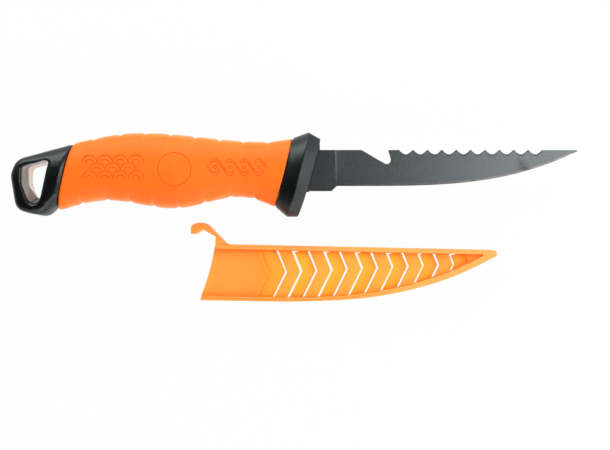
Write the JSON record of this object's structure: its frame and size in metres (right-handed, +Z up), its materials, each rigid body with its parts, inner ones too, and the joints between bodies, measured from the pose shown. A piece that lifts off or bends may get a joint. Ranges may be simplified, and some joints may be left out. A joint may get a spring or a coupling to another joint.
{
  "type": "rigging knife",
  "caption": "Fixed-blade rigging knife with line notch, scalloped spine and soft grip, and a slatted sheath with a latch hook, which draws off.",
  "frame": {"origin": "on the surface that knife and sheath lie on, under the middle of their common outline", "axes": "+X from butt to point, +Y towards the knife's spine side, +Z up from the surface"},
  "size_m": [0.2388, 0.0724, 0.025],
  "materials": {
    "blade_steel": "dark matt coating",
    "guard_black": "satin black",
    "core_black": "matt black",
    "pin_steel": "plain steel",
    "grip_orange": "soft matt rubber",
    "sheath_orange": "translucent moulded plastic"
  },
  "bodies": {
    "knife": {"blade": "blade_steel", "guard": "guard_black", "handle_core": "core_black", "tang_pins": "pin_steel", "grip": "grip_orange", "butt_cap": "guard_black", "cap_pin": "pin_steel"},
    "sheath": {"sheath_rim": "sheath_orange", "sheath_mouth_panel": "sheath_orange", "sheath_front_slats": "sheath_orange", "sheath_back_slats": "sheath_orange"},
    "sheath_latch": {"sheath_hook": "sheath_orange"}
  },
  "joints": [
    {"name": "sheath_draw", "type": "slide", "parent": "knife", "child": "sheath", "axis": [0.9998, -0.0209, 0], "range_m": [0, 0.156]},
    {"name": "latch_flex", "type": "hinge", "parent": "sheath", "child": "sheath_latch", "pos_m": [-0.02885, -0.01144, 0.004], "axis": [0, 0, -1], "range_deg": [0, 6], "stiffness_Nm_per_rad": 0.02}
  ]
}
